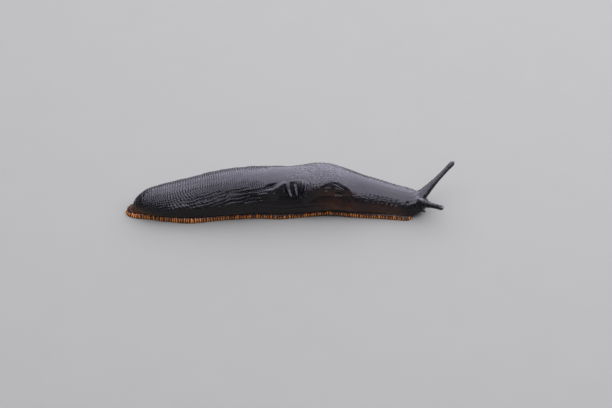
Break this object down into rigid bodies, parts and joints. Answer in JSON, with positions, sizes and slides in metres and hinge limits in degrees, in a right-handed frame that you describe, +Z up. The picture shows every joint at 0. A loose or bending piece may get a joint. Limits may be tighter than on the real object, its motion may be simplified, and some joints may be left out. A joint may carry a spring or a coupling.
{
  "type": "black slug model",
  "caption": "Life-size still model of a large black slug crawling on its sole, with a barred orange foot fringe, a mantle with its breathing pore, and raised tentacles.",
  "frame": {"origin": "centre of the model's footprint, on the floor it rests on", "axes": "+X the way the slug crawls, +Y to its left, +Z up"},
  "size_m": [0.1318, 0.03, 0.0177],
  "materials": {
    "slug_skin": "wet, finely ridged",
    "mantle_skin": "wet, finely grained",
    "foot_fringe": "wet, barred",
    "sole_skin": "wet, smooth",
    "eye": "glossy"
  },
  "bodies": {
    "root": {"tail": "slug_skin", "back": "slug_skin", "torso": "slug_skin", "neck": "slug_skin", "head": "slug_skin", "mantle": "mantle_skin", "tentacle_upper_left": "slug_skin", "tentacle_upper_right": "slug_skin", "tentacle_lower_left": "slug_skin", "tentacle_lower_right": "slug_skin", "eye_left": "eye", "eye_right": "eye", "fringe_left": "foot_fringe", "fringe_right": "foot_fringe", "sole": "sole_skin"}
  },
  "joints": []
}
